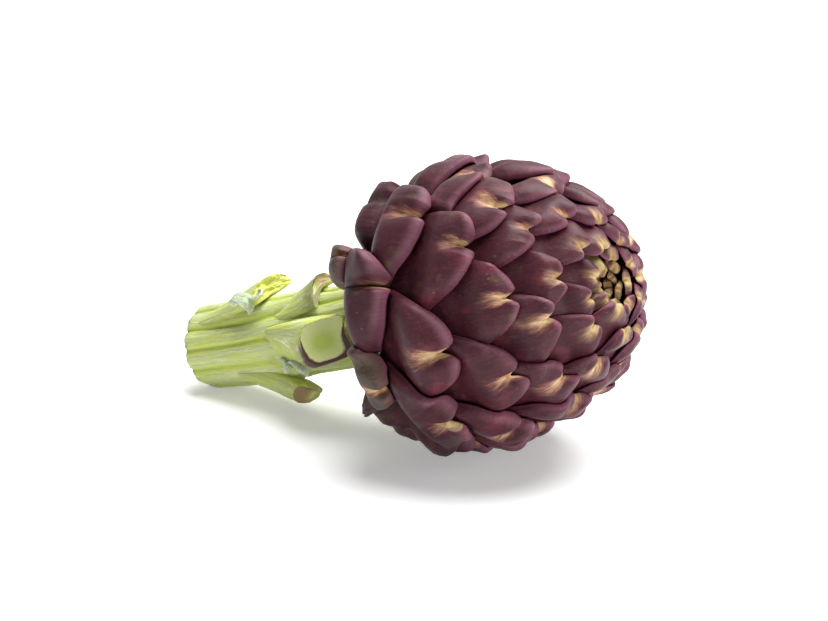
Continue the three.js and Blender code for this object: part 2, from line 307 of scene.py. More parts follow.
class GeometryTree:
    """A Geometry Nodes tree with named inputs: sizes, which are numbers unless their label
    ends in Direction or Place, and others, given with their kind."""

    def __init__(self, name, sizes, others=()):
        self.tree = bpy.data.node_groups.new(name, "GeometryNodeTree")
        face = self.tree.interface
        face.new_socket("Geometry", in_out="OUTPUT", socket_type="NodeSocketGeometry")
        for label, kind in others:
            face.new_socket(label, in_out="INPUT", socket_type="NodeSocket" + kind)
        for label in sizes:
            is_vector = label.endswith(("Direction", "Place"))
            kind = "NodeSocketVector" if is_vector else "NodeSocketFloat"
            face.new_socket(label, in_out="INPUT", socket_type=kind)
        self.inputs = add_node(self.tree, "NodeGroupInput")
        self.output = add_node(self.tree, "NodeGroupOutput")
        self.stored = []

    def given(self, *labels):
        """The tree's inputs with these labels, or the one with this label."""
        found = [self.inputs.outputs[label] for label in labels]
        found = [Field(self.tree, s) if s.type in ("VALUE", "VECTOR") else s for s in found]
        return found if len(found) > 1 else found[0]

    def add(self, kind, *values, **settings):
        """Adds a node, feeds its first inputs in order, and returns it."""
        made = add_node(self.tree, kind, **settings)
        free = [socket for socket in made.inputs if socket.enabled]
        for socket, value in zip(free, values):
            feed(self.tree, socket, value)
        return made

    def field(self, kind, *values):
        """Adds a node and returns its first output."""
        made = self.add(kind, *values)
        return Field(self.tree, next(socket for socket in made.outputs if socket.enabled))

    def grid(self, columns, rows):
        """A flat grid, and the column and row of its points, counted from its middle."""
        made = self.add("GeometryNodeMeshGrid", columns, rows, columns + 1.0, rows + 1.0)
        column, row, _ = self.field("GeometryNodeInputPosition").parts()
        return made.outputs["Mesh"], column, row

    def moved(self, geometry, place):
        made = self.add("GeometryNodeSetPosition", geometry)
        feed(self.tree, made.inputs["Position"], place)
        return made.outputs[0]

    def flipped(self, geometry):
        return self.add("GeometryNodeFlipFaces", geometry).outputs[0]

    def joined(self, *sheets):
        made = self.add("GeometryNodeJoinGeometry")
        for sheet in sheets:
            self.tree.links.new(sheet, made.inputs[0])
        return made.outputs[0]

    def welded(self, geometry):
        """Closes the seams: points that meet become one."""
        made = self.add("GeometryNodeMergeByDistance", geometry)
        feed(self.tree, made.inputs["Distance"], WELD)
        return made.outputs[0]

    def store(self, geometry, name, value):
        """Keeps a field, or the three parts of one, on the points under a name. Returns the
        geometry and the kept field."""
        if isinstance(value, tuple):
            value = vector(self.tree, *value)
        self.stored.append(name)
        kind = "FLOAT_VECTOR" if value.is_vector else "FLOAT"
        stored = self.add("GeometryNodeStoreNamedAttribute", data_type=kind, domain="POINT")
        feed(self.tree, stored.inputs["Geometry"], geometry)
        feed(self.tree, stored.inputs["Name"], name)
        feed(self.tree, stored.inputs["Value"], value)
        read = self.add("GeometryNodeInputNamedAttribute", data_type=kind)
        feed(self.tree, read.inputs["Name"], name)
        return stored.outputs[0], Field(self.tree, read.outputs["Attribute"])

    def finish(self, geometry, *kept):
        """Drops the stored fields except the kept ones. Smooth shading, Realize Instances and
        Set Material, then the tree's output."""
        for name in sorted(set(self.stored) - set(kept)):
            geometry = self.add("GeometryNodeRemoveAttribute", geometry, name).outputs[0]
        smooth = self.add("GeometryNodeSetShadeSmooth", geometry)
        whole = self.add("GeometryNodeRealizeInstances", smooth.outputs[0])
        finished = self.add("GeometryNodeSetMaterial", whole.outputs[0])
        feed(self.tree, finished.inputs["Material"], self.given("Material"))
        self.tree.links.new(finished.outputs[0], self.output.inputs[0])


def grown(name, tree, values):
    """The plain mesh object that a tree makes with these values for its named inputs."""
    piece = bpy.data.objects.new(name, bpy.data.meshes.new(name))
    bpy.context.scene.collection.objects.link(piece)
    modifier = piece.modifiers.new("grow", "NODES")
    modifier.node_group = tree.tree
    for item in tree.tree.interface.items_tree:
        if item.in_out == "INPUT" and item.name in values:
            modifier[item.identifier] = values[item.name]
    graph = bpy.context.evaluated_depsgraph_get()
    mesh = bpy.data.meshes.new_from_object(piece.evaluated_get(graph), depsgraph=graph)
    piece.modifiers.clear()
    empty = piece.data
    piece.data = mesh
    bpy.data.meshes.remove(empty)
    mesh.name = name
    return piece


# ---- Bracts ----------------------------------------------------------------------------------

RIM_ROWS = 4  # rows of faces round a bract's thick edge
GAP = 0.25 * MM  # between a bract and what it lies on
SOFT_CONTACT = 0.7 * MM  # over which a bract's faces bend where they meet what they lie on
HIGHEST_BASE = -1.0 * MM  # over the bud's level; a bract's base lies on nothing above this
HIGHEST_TIP = 9.0 * MM  # by how much higher things its tip may lie on
SUNK_BASE = 0.9 * MM  # how far a bract's base ends inside what it grows on
KEPT_UNDER = 30  # a bract can only touch those that are at most this many numbers further in
BRACT_SIZES = (
    "Axis Direction", "Outward Direction", "Across Direction", "Centre Place",
    "Tip Angle", "Reach", "Size", "Half Width", "Length", "Rows", "Columns",
    "Shoulder", "Lobe", "Notch Width", "Sharp", "Lean", "Skew", "Split",
    "Crown", "Arch", "Slope", "Level", "Raise", "Fold", "Thickness", "Edge", "Press",
    "Youth", "Age", "Chance", "Seed",
)


def bud_level(angle):
    return HEAD_RADIUS * (EGG * cos(angle) + OVAL * cos(angle * 2.0) + 1.0)


def bract_tree():
    """One bract: a fleshy scale with a notched tip, laid on what is under it."""
    tree = GeometryTree("Bract", BRACT_SIZES, (("Under", "Collection"), ("Material", "Material")))
    t = tree.tree
    size, length, half = tree.given("Size", "Length", "Half Width")
    rows, columns, seed = tree.given("Rows", "Columns", "Seed")
    axis, centre = tree.given("Axis Direction", "Centre Place")
    point = tree.given("Sharp")

    grid, x, y = tree.grid(columns, rows)
    grid, row = tree.store(grid, "row", y + rows / 2.0)
    grid, column = tree.store(grid, "column", x + columns / 2.0)

    # Distance in from the tip's edge and from the nearer side, closer steps at the rim.
    quarter = math.pi / 2
    edge_thickness = tree.given("Edge")
    rim = edge_thickness * 0.5
    from_side = smaller(column, columns - column)
    tip_turn = limit(row / RIM_ROWS) * quarter
    side_turn = limit(from_side / RIM_ROWS) * quarter
    far_row = limit((row - RIM_ROWS) / (rows - RIM_ROWS)) ** 1.5
    far_column = limit((from_side - RIM_ROWS) / (columns / 2.0 - RIM_ROWS))
    far_column = 1.0 - (1.0 - far_column) ** 1.25
    in_from_tip = rim * (1.0 - cos(tip_turn)) + (length - rim) * far_row
    in_from_side = rim * (1.0 - cos(side_turn)) + (half - rim) * far_column
    grid, u = tree.store(grid, "u", in_from_tip / length)
    thinned = 1.0 - rise(u, 0.82, 1.0)
    grid, swell = tree.store(grid, "swell", sin(tip_turn) * sin(side_turn) * thinned)
    side = sign_of(column - columns / 2.0)
    grid, v = tree.store(grid, "v", side * (1.0 - in_from_side / half))

    # The tip's outline: two lobes, a notch between them, and shoulders that fall back.
    from_notch = v - tree.given("Skew") * (1.0 - v * v)
    out = abs(from_notch)
    wobble = noise(t, (v * 2.2, seed, 0.0), 1.0) - 0.5
    shoulder = size * tree.given("Shoulder") * out ** mix(2.8, 1.6, point)
    shoulder = shoulder * (tree.given("Lean") * v + 1.0)
    lobe_rise = sin(limit(out / tree.given("Notch Width")) * quarter)
    lobe = size * tree.given("Lobe") * lobe_rise * (1.0 - tree.given("Lean") * v * 0.6)
    split = tree.given("Split") * limit(1.0 - out / 0.035)
    edge = shoulder - lobe + split + size * wobble * (tree.given("Youth") * 0.14 + 0.06)
    grid, behind = tree.store(grid, "behind", edge * (1.0 - u) + length * u)

    # Where that is on the bud.
    age = tree.given("Age")
    narrowing = rise(u, 0.35 - age * 0.25, 1.0) * (age * 0.25 + 0.28)
    half_here = half * (limit(u / 0.3) * 0.04 + 0.96 - narrowing)
    angle = tree.given("Tip Angle") + behind / tree.given("Reach")
    sideways = v * half_here / HEAD_RADIUS
    radial = axis * cos(angle) + tree.given("Outward Direction") * sin(angle)
    radial = radial * cos(sideways) + tree.given("Across Direction") * sin(sideways)
    grid, radial = tree.store(grid, "radial", radial)
    along = radial.dot(axis)
    from_axis = arccos(along)
    shifted = centre + axis * (along * along * EGG_SHIFT)

    # Height of the outer face before it is laid: crowned, turned in at the tip, folded in
    # at the notch.
    pillow = rounded(in_from_tip / (size * 0.55)) * rounded(in_from_side / (half * 0.6))
    edge_radius = larger(size * 0.15, tree.given("Raise") * 0.9)
    edge_round = rounded(in_from_tip / edge_radius) * rounded(in_from_side / edge_radius)
    back = larger(behind, 0.0) / size
    dome = 1.0 - rise(back, 0.3, 0.95)
    arch = size * tree.given("Arch") * (1.0 - v * v)
    crown = (size * tree.given("Crown") * pillow + arch) * dome
    valley = bell(from_notch / (back * 0.2 + 0.09)) * bell(back / 0.3)
    fold = size * tree.given("Fold") * valley
    swells = noise(t, (v * 2.0, behind / size * 1.5, seed), 1.0) - 0.5
    level = tree.given("Level") + tree.given("Raise") * edge_round
    free = bud_level(from_axis) + level + crown + size * swells * 0.05
    free = free - behind * tree.given("Slope") - fold
    grid, free = tree.store(grid, "free", free)

    # What lies under it, as distance from the bud's centre, smoothed from above.
    under = tree.add("GeometryNodeCollectionInfo", tree.given("Under"))
    under = tree.add("GeometryNodeRealizeInstances", under.outputs[0]).outputs[0]
    far = HEAD_RADIUS * 1.6  # the rays start here, outside all that is laid
    ray = tree.add("GeometryNodeRaycast")
    feed(t, ray.inputs["Target Geometry"], under)
    feed(t, ray.inputs["Source Position"], shifted + radial * far)
    feed(t, ray.inputs["Ray Direction"], -radial)
    feed(t, ray.inputs["Ray Length"], far)
    hit = Field(t, ray.outputs["Is Hit"])
    below = hit * (far - Field(t, ray.outputs["Hit Distance"]))
    grid, below = tree.store(grid, "below", below)
    for _ in range(3):
        blurred = tree.field("GeometryNodeBlurAttribute", below, 5)
        grid, below = tree.store(grid, "below", larger(below, blurred))
    foot = rise(u, 0.6, 0.95)
    highest = bud_level(from_axis) + (1.0 - foot) * HIGHEST_TIP + HIGHEST_BASE
    below = smaller(below, highest) + GAP

    # The laid sheet: it rests on what is under it at the base and on high spots, and its
    # tip is pressed part of the way down.
    full = tree.given("Thickness") * (1.0 - rise(u, 0.3, 0.6) * 0.72) * (1.0 - valley * 0.5)
    thickness = mix(edge_thickness, full, edge_round)
    pressed = tree.given("Press") * (1.0 - rise(u, 0.0, 0.45))
    pressed = larger(pressed, rise(abs(v), 0.5, 0.95) * 0.9)
    inner = mix(free - thickness, below, larger(foot, pressed))
    inner = round_larger(inner, below, SOFT_CONTACT)
    held = inner + thickness + crown * 0.75
    outer = round_larger(inner + thickness, mix(free, held, pressed), SOFT_CONTACT)
    grid, outer = tree.store(grid, "outer", outer)
    sunk = (thickness * 0.5 + SUNK_BASE) * rise(u, 0.75, 1.0)
    grid, core = tree.store(grid, "core", outer - thickness * 0.5 - sunk)
    grid, bulge = tree.store(grid, "bulge", (outer - core) * swell)

    # What the finish needs: place on the bract in millimetres and the bract's own traits.
    across = from_notch * half_here / MM
    from_edge = smaller(in_from_tip, in_from_side) / MM
    grid, _ = tree.store(grid, "leaf", (across, behind / MM, from_edge))
    traits = vector(t, tree.given("Youth"), tree.given("Chance"), size / MM)
    grid, _ = tree.store(grid, "trait", traits)
    grid, _ = tree.store(grid, "share", (u, age, 0.0))

    outer_face = tree.moved(grid, above_surface(shifted + radial * (core + bulge)))
    inner_face = tree.moved(grid, above_surface(shifted + radial * (core - bulge)))
    closed = tree.welded(tree.joined(tree.flipped(outer_face), inner_face))
    tree.finish(closed, "leaf", "trait", "share")
    return tree


# How single bracts stand off the rule: how far their notch is moved towards the bud's tip
# and around it, and they are moved outwards, in mm, and how many times the rule's size.
STANDS = {
    -24: (-4, 0, -4, 0.4), -23: (-4, 0, -3, 0.5), -22: (-4, 0, -3, 0.5),
    -21: (-8, 0, -5, 0.36), -20: (-4, 0, -2, 0.6), -19: (-6, 0, -3, 0.5),
    -18: (-4, 0, -1.2, 0.87), -17: (0, 0, -1, 0.9), -16: (0, -0.4, 6.5, 0.36),
    -13: (-1.6, 2.2, 2.3, 0.61), -11: (-5.9, 2.4, -1.8, 0.9), -10: (-3.5, 0, -4, 1),
    -8: (-4.4, -5.7, 3, 0.85), -6: (-2.3, 0, -2.8, 0.95), -5: (-2.2, 3.1, 0, 0.94),
    -3: (-4.3, -1.2, 0, 1), -2: (-2.5, 0, -3, 1), 0: (-1.3, 4.9, 0, 1),
    2: (-3.5, 0, -4.3, 0.93), 3: (-3.5, 3.8, -1, 1), 5: (0, -6, 0, 1), 6: (0, 0, -3.3, 1),
    7: (0, 0, -0.8, 1), 8: (1.4, 3.8, 0, 1), 10: (-0.8, 2, 0, 1), 11: (0, 0, -1, 1),
    13: (1, -1, 0, 1), 15: (0, 0, -1, 1), 16: (1, 2.3, 0, 1), 18: (-1, -6.5, 0, 1.05),
    19: (0, 2.5, -1.2, 1), 20: (0, 0, -1, 1), 21: (1.2, -3, 0, 1.15), 23: (0, -1.2, 0, 1.05),
    26: (0, -1.2, 0, 1.1), 29: (2.5, 0, 0, 1), 31: (0, -2.5, 0, 1.1), 36: (0, -1, 0, 1.15),
    37: (3.5, 0, 0, 1.15),
}
# The lopsided ones: on which side the lobe is smaller, by the sign, and by how much.
LEANS = {
    -16: -0.7, -13: 0.55, -11: -0.8, -8: -0.25, -6: -0.6, -3: -0.3, 2: -0.8, 7: -0.3, 15: -0.5,
}
TUCKED_UNDER = {-18: -4.6, -11: -2.5, -10: -4.5, -6: -2.4}  # laid as if numbered so
HALF_WIDTH = 0.98  # of a bract, as a share of its size
LENGTH = 1.85  # of an outer bract, as a share of its size
SMALL_SIZE = 16 * MM  # up to this size, a bract has fewer rows and columns of faces
LOW_BRACTS = 13  # so many, from the lowest on, have the older, olive skin
SHORTEST = 26 * MM  # the small bracts at the neck are at least this long
BODY_SHARE = 0.3  # share of a notch's move around the bud that the whole bract makes
SPLIT_BRACT, SPLIT_LENGTH = -8, 5.5 * MM  # its tip is torn in


def bract_values(number):
    """The inputs of the bract tree for one bract."""
    dice = random.Random(number + 500)
    tip = tip_angle(number)
    turn = FIRST_TURN + GOLDEN_TURN * number + TWIST * number * number
    forward, around, out, times = STANDS.get(number, (0, 0, 0, 1))
    low, inner = between(-number, 0, 12), between(number, 8, EYE_BRACT)
    in_eye, sunk = between(number, EYE_BRACT, 48), between(number, 38, 52)
    size = spacing(number) * times * (1 + 0.85 * in_eye)
    rows, columns = (40.0, 64.0) if size > SMALL_SIZE else (30.0, 40.0)
    reach = HEAD_RADIUS * stretch(tip + rad(12))
    base = NECK_ANGLE - BASE_STEP * (number - FIRST_BRACT)
    room = reach * max(base - tip, rad(14))
    turn += BODY_SHARE * around * MM / (HEAD_RADIUS * math.sin(tip))
    tip -= forward * MM / reach
    return {
        "Axis Direction": AXIS,
        "Outward Direction": outward(turn),
        "Across Direction": outward(turn + math.pi / 2),
        "Centre Place": HEAD_CENTRE,
        "Tip Angle": tip,
        "Reach": reach,
        "Size": size,
        "Half Width": (HALF_WIDTH - 0.05 * low**3) * size,
        "Length": min(max((LENGTH + 0.6 * inner + 0.4 * low) * size, SHORTEST * low), room),
        "Rows": rows,
        "Columns": columns,
        "Shoulder": 0.95,
        "Lobe": dice.uniform(0.22, 0.26) - 0.04 * inner,
        "Notch Width": dice.uniform(0.12, 0.17) + 0.2 * inner,
        "Sharp": inner,
        "Lean": LEANS.get(number, dice.uniform(-0.15, 0.15) * (1 + 1.6 * inner)),
        "Skew": (1 - BODY_SHARE) * around * MM / (HALF_WIDTH * size),
        "Split": SPLIT_LENGTH if number == SPLIT_BRACT else 0.0,
        "Crown": 0.23,
        "Arch": 0.06,
        "Slope": 0.16,
        "Level": (min(out, 0) - 2.8 + 1.6 * inner - 5.5 * sunk - 0.2 * low) * MM,
        "Raise": max(out, 0) * MM,
        "Fold": 0.13,
        "Thickness": 0.1 * size + max(out, 0) * MM,
        "Edge": 0.035 * size,
        "Press": dice.uniform(0.5, 0.85) + 0.12 * low,
        "Youth": between(number, 18, 44),
        "Age": low,
        "Chance": dice.random(),
        "Seed": number * 1.7 + 60,
    }


def laying_order(number):
    """The higher, the earlier a bract is laid."""
    return TUCKED_UNDER.get(number, number)


def lay_bracts(under, materials):
    """All bracts, from the innermost outwards, each laid on those already there."""
    tree = bract_tree()
    made = {}
    for number in sorted(range(FIRST_BRACT, LAST_BRACT + 1), key=laying_order, reverse=True):
        values = bract_values(number)
        values["Under"] = under
        place = place_of(number)
        slot = "heart" if place > CAD_BRACTS else "bract_low" if place <= LOW_BRACTS else "bract"
        values["Material"] = materials[slot]
        piece = grown(f"bract_{place:02d}_leaf", tree, values)
        made[number] = (piece, slot)
        under.objects.link(piece)
        covered = made.get(number + KEPT_UNDER)
        if covered:
            under.objects.unlink(covered[0])
    return made


HEART_RADIUS = 47.0 * MM  # near the bud's tip, round the crater
CRATER_DEPTH = 4.0 * MM
CRATER_EDGE = rad(7), rad(20)  # angles from the bud's tip between which the crater ends
HEART_FALL = 13.0 * MM  # by which the heart's side and stem's end lie deeper than that
FALL_ANGLES = rad(35), rad(85)  # between which it falls so far


def heart_tree():
    """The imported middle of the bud: a dome with a crater under the eye."""
    tree = GeometryTree(
        "Heart", ("Axis Direction", "Across Direction", "Centre Place", "Level", "Crater"),
        (("Material", "Material"),),
    )
    t = tree.tree
    ball = tree.add("GeometryNodeMeshUVSphere", 96, 64, 1.0).outputs["Mesh"]
    x, y, z = unit(tree.field("GeometryNodeInputPosition")).parts()
    axis, side = tree.given("Axis Direction", "Across Direction")
    radial = axis * z + side * x + cross(axis, side) * y
    angle = arccos(smaller(larger(z, -1.0), 1.0))
    crater = tree.given("Crater") * (1.0 - rise(angle, *CRATER_EDGE))
    lumps = noise(t, radial * 9.0, 1.0, 2.0) - 0.5
    level = tree.given("Level") - crater - HEART_FALL * rise(angle, *FALL_ANGLES)
    level = level + lumps * (1.2 * MM)

    # What the finish needs, as if it were one small young bract.
    ball, _ = tree.store(ball, "leaf", (y * 40.0, angle * 22.0, 4.0))
    ball, _ = tree.store(ball, "trait", (0.9, 0.4, 12.0))
    shift = axis * (z * z * EGG_SHIFT)
    ball = tree.moved(ball, tree.given("Centre Place") + shift + radial * level)
    tree.finish(ball, "leaf", "trait")
    return tree


def grow_heart(material):
    values = {
        "Axis Direction": AXIS, "Across Direction": SIDE, "Centre Place": HEAD_CENTRE,
        "Level": HEART_RADIUS, "Crater": CRATER_DEPTH, "Material": material,
    }
    return grown("bud_heart_dome", heart_tree(), values)


# ---- Stem, leaf stalks and leaflets ----------------------------------------------------------

STEM_RADIUS = 15.4 * MM
STEM_RIBS = 11
STEM_LENGTH = 97.0  # mm, along its curve
STALK_LENGTH = 30.0  # mm, for the finish: about what each leaf stalk has
STEM_END = HEAD_CENTRE + Vector((-113.1, -7.2, -36.8)) * MM
STEM_BEND = HEAD_CENTRE + Vector((-62, -2.5, -22)) * MM
STEM_TOP = HEAD_CENTRE - AXIS * 22 * MM

# Each leaf stalk: stations along the stem (share of its length, angle around it from the
# top towards the front, height over the skin, half width, half thickness; degrees and mm).
STALKS = {
    "stalk_top": ((0.02, 0, -5, 9, 1), (0.21, 3, -0.4, 11, 3), (0.38, 6, 4.8, 11, 3.2)),
    "stalk_back": ((0.42, 18, -4, 8, 1), (0.55, 18, 0, 10, 2.4), (0.635, 16, 3.8, 10.5, 2.2)),
    "stalk_front": ((0.3, 93, -7, 6, 1), (0.58, 91, 1.8, 8.4, 5.5), (0.73, 90, 7.4, 7.8, 6.9)),
    "stalk_lower": ((0.16, 154, -4, 8, 1.5), (0.35, 158, 1.2, 8, 3.8), (0.46, 158, 7, 7, 3.4)),
}
# How square each one's section is (1 is oval), how far it is wrapped round the stem and how
# far its end is torn in mm, how slanted its end is, how purple its skin and how dry its end.
STALK_TRAITS = {
    "stalk_top": (0.8, 2.0, 3.0, -0.3, 0, 0.0),
    "stalk_back": (0.8, 4.5, 1.4, -0.3, 0.5, 0.6),
    "stalk_front": (0.42, 1.5, 0.5, 0.7, 1, 0.0),
    "stalk_lower": (0.7, 2.0, 0.8, 0.0, 0.3, 1.0),
}


def stem_share(share):
    """The Bezier curve's parameter at this share of the stem's length."""
    start, end = (STEM_BEND - STEM_END).length, (STEM_TOP - STEM_BEND).length
    fall = (start - end) / (start + end)
    return (1 + fall - math.sqrt((1 + fall) ** 2 - 4 * fall * share)) / (2 * fall)


def stem_frame(t):
    """Centre, direction along, upwards and sideways of the stem at a curve parameter."""
    centre = STEM_END * (1 - t) ** 2 + STEM_BEND * 2 * t * (1 - t) + STEM_TOP * t * t
    along = ((STEM_BEND - STEM_END) * (1 - t) + (STEM_TOP - STEM_BEND) * t).normalized()
    side = along.cross(Vector((0, 0, 1))).normalized()
    return centre, along, side.cross(along), side


def bezier(start, bend, end, t):
    """Point of a quadratic curve, for fields."""
    return mix(mix(start, bend, t), mix(bend, end, t), t)


def steps_along(tree, rows, cap_rows):
    """A grid rolled up into a tube with one closed end. Gives the geometry, the share along
    the tube, the angle around it, and how far in over the closed end a point is (0 to 1)."""
    columns = tree.given("Columns")
    length = rows + cap_rows
    grid, x, y = tree.grid(columns, length)
    row = y + length / 2.0
    grid, around = tree.store(grid, "around", x / columns * (2 * math.pi))
    grid, cap = tree.store(grid, "cap", limit((row - rows) / cap_rows) ** 1.6)
    grid, share = tree.store(grid, "share", 1.0 - (1.0 - limit(row / rows)) ** 1.6)
    return grid, share, around, cap


STEM_SIZES = (
    "End Place", "Bend Place", "Top Place", "Radius", "Rib Height", "Flare", "Rows",
    "Columns", "Seed",
)


def stem_tree():
    """The ribbed stem, closed at its cut end. It runs from the bud to the cut."""
    tree = GeometryTree("Stem", STEM_SIZES, (("Material", "Material"),))
    t = tree.tree
    grid, share, around, cap = steps_along(tree, tree.given("Rows"), 14.0)
    s = 1.0 - share
    end, bend, top = tree.given("End Place", "Bend Place", "Top Place")
    centre = bezier(end, bend, top, s)
    along = unit(mix(bend - end, top - bend, s))
    side = unit(cross(along, Vector((0, 0, 1))))
    up = cross(side, along)

    # Ribs spread apart towards the leaf stalks: up above the front stalk, down below it.
    spread = sin((around - rad(95)) * 2.0) * s * s * 0.5
    rib_angle = around - spread
    circle = vector(t, cos(rib_angle), sin(rib_angle), s * 0.7 + tree.given("Seed"))
    uneven = noise(t, circle, 1.6, 1.0) - 0.5
    phase = rib_angle * STEM_RIBS + uneven * 3.0
    ridge = cos(phase)
    groove = ((1.0 - ridge) * 0.5) ** 5.0
    fine = noise(t, (cos(rib_angle) * 16.0, sin(rib_angle) * 16.0, s * 4.0), 1.0, 2.0)
    half_ridge = cos(phase * 3.0 + uneven * 4.0)
    height = ridge * 0.25 - groove * 0.6 + half_ridge * 0.12 + (fine - 0.5) * 0.7 + uneven * 0.6
    height = height * tree.given("Rib Height")
    swell = 0.0
    for foot, _, tip in STALKS.values():
        start, stop = stem_share(foot[0]), stem_share(tip[0])
        turn = around - rad((foot[1] + tip[1]) / 2)
        turn = turn.op("WRAP", turn, math.pi, -math.pi)
        swell = bell(turn / 0.42) * rise(s, start - 0.22, start + 0.1) * (
            1.0 - rise(s, stop - 0.06, stop + 0.05)
        ) + swell
    flare = tree.given("Flare") * rise(s, 0.72, 0.97)
    reach = tree.given("Radius") + height + flare + swell * (1.3 * MM)
    reach = reach - bell(s / 0.012) * (0.5 * MM)
    reach = reach * (1.0 - cap)
    hollow = rise(cap, 0.0, 0.5) * (0.4 * MM) + (fine - 0.5) * rise(cap, 0.0, 0.2) * (0.3 * MM)
    place = centre + up * (cos(around) * reach) + side * (sin(around) * reach) + along * hollow
    grid, _ = tree.store(grid, "ridge", (ridge, groove, swell))
    spot = (rib_angle * STEM_RADIUS / MM, s * STEM_LENGTH, cap * STEM_RADIUS / MM)
    grid, _ = tree.store(grid, "part", spot)
    skin = tree.flipped(tree.moved(grid, above_surface(place)))
    tree.finish(tree.welded(skin), "ridge", "part")
    return tree


STALK_SIZES = (
    "Root Place", "Bend Place", "End Place", "Root Out Direction", "End Out Direction",
    "Root Width", "Bend Width", "End Width", "Root Depth", "Bend Depth", "End Depth",
    "Square", "Wrap", "Tear", "Slant", "Purple", "Dry", "Rows", "Columns", "Seed",
)


def stalk_tree():
    """The base of a leaf stalk: a thick crescent that leaves the stem, cut or torn off."""
    tree = GeometryTree("Leaf stalk", STALK_SIZES, (("Material", "Material"),))
    t = tree.tree
    grid, share, around, cap = steps_along(tree, tree.given("Rows"), 12.0)
    root, bend, end = tree.given("Root Place", "Bend Place", "End Place")
    centre = bezier(root, bend, end, share)
    along = unit(mix(bend - root, end - bend, share))
    out = mix(tree.given("Root Out Direction"), tree.given("End Out Direction"), share)
    across = unit(cross(along, out))
    up = cross(across, along)
    wide = bezier(*tree.given("Root Width", "Bend Width", "End Width"), share)
    deep = bezier(*tree.given("Root Depth", "Bend Depth", "End Depth"), share)
    square = tree.given("Square")
    c, s = cos(around), sin(around)
    c = sign_of(c) * abs(c) ** square
    s = sign_of(s) * abs(s) ** square
    seed = tree.given("Seed")
    stripe = noise(t, (c * wide * 900.0, s * deep * 900.0, share * 3.0 + seed), 1.0, 2.0)
    ribs = (stripe - 0.5) * (0.9 * MM) * (1.0 - cap)
    lay = 1.0 - cap
    across_by = c * (wide + ribs) * lay
    up_by = s * (deep + ribs) * lay - c * c * lay * lay * tree.given("Wrap") * share
    torn = noise(t, (c * lay * 1.6, s * lay, seed), 1.3, 3.0) - 0.5
    ragged = noise(t, (c * lay * 7.0, s * lay * 2.0, seed), 1.3, 2.0) - 0.5
    back = (torn * 2.0 + ragged * 0.7) * tree.given("Tear") - up_by * tree.given("Slant")
    back = back * rise(share, 0.6, 1.0)
    hollow = rise(cap, 0.05, 0.6) * (0.7 * MM)
    place = centre + across * across_by + up * up_by + along * (back - hollow)
    from_rim = (1.0 - lay) * smaller(wide, deep) / MM
    grid, _ = tree.store(grid, "part", (around * wide / MM, share * STALK_LENGTH, from_rim))
    section = (across_by / MM, s * lay * deep / MM, tree.given("Dry"))
    grid, _ = tree.store(grid, "section", section)
    grid, _ = tree.store(grid, "trait", (tree.given("Purple"), s, deep / MM))
    flesh = tree.moved(grid, above_surface(place))
    tree.finish(tree.welded(flesh), "part", "section", "trait")
    return tree


def off_stem(share, around, height):
    """Place over the stem's skin, and the stem's direction and the way out there. Given the
    share of the stem's length, the degrees around it and the height in mm."""
    centre, along, up, side = stem_frame(stem_share(share))
    out = up * math.cos(rad(around)) + side * math.sin(rad(around))
    return centre + out * (STEM_RADIUS + height * MM), along, out


def bent(first, middle, last):
    """The bend point of the curve that goes through these three."""
    return middle * 2 - (first + last) * 0.5


def stalk_values(name, seed):
    """The inputs of the leaf stalk tree for one stalk."""
    places, _, outs = zip(*(off_stem(*station[:3]) for station in STALKS[name]))
    values = {"Root Out Direction": outs[0], "End Out Direction": outs[2]}
    ends = ("Root", "Bend", "End")
    for end, place in zip(ends, (places[0], bent(*places), places[2])):
        values[f"{end} Place"] = place
    for label, item in (("Width", 3), ("Depth", 4)):
        first, middle, last = (station[item] * MM for station in STALKS[name])
        for end, size in zip(ends, (first, bent(first, middle, last), last)):
            values[f"{end} {label}"] = size
    square, wrap, tear, slant, purple, dry = STALK_TRAITS[name]
    values.update({
        "Square": square, "Wrap": wrap * MM, "Tear": tear * MM, "Slant": slant,
        "Purple": float(purple), "Dry": dry, "Rows": 40.0, "Columns": 96.0, "Seed": seed,
    })
    return values


# Each small woolly leaf: where it sits on the stem (share of its length, angle around it in
# degrees), height over the skin, length and half width in mm, how far it turns off the
# stem's direction, how far it curls up along its length and how far it is cupped (degrees).
LEAFLETS = {
    "leaflet_top": (0.32, 38, 1.5, 24, 3.0, -8, 290, 30),
    "leaflet_top_tip": (0.36, 26, 5.5, 13, 3.0, -40, 40, 60),
    "leaflet_front": (0.53, 117, 2.5, 17, 5.0, 30, 90, 70),
    "leaflet_front_tip": (0.47, 108, 2.0, 13, 3.6, -5, 110, 80),
}
LEAFLET_SIZES = (
    "Root Place", "Along Direction", "Out Direction", "Length", "Half Width", "Curl", "Cup",
    "Thickness", "Rows", "Columns", "Seed",
)


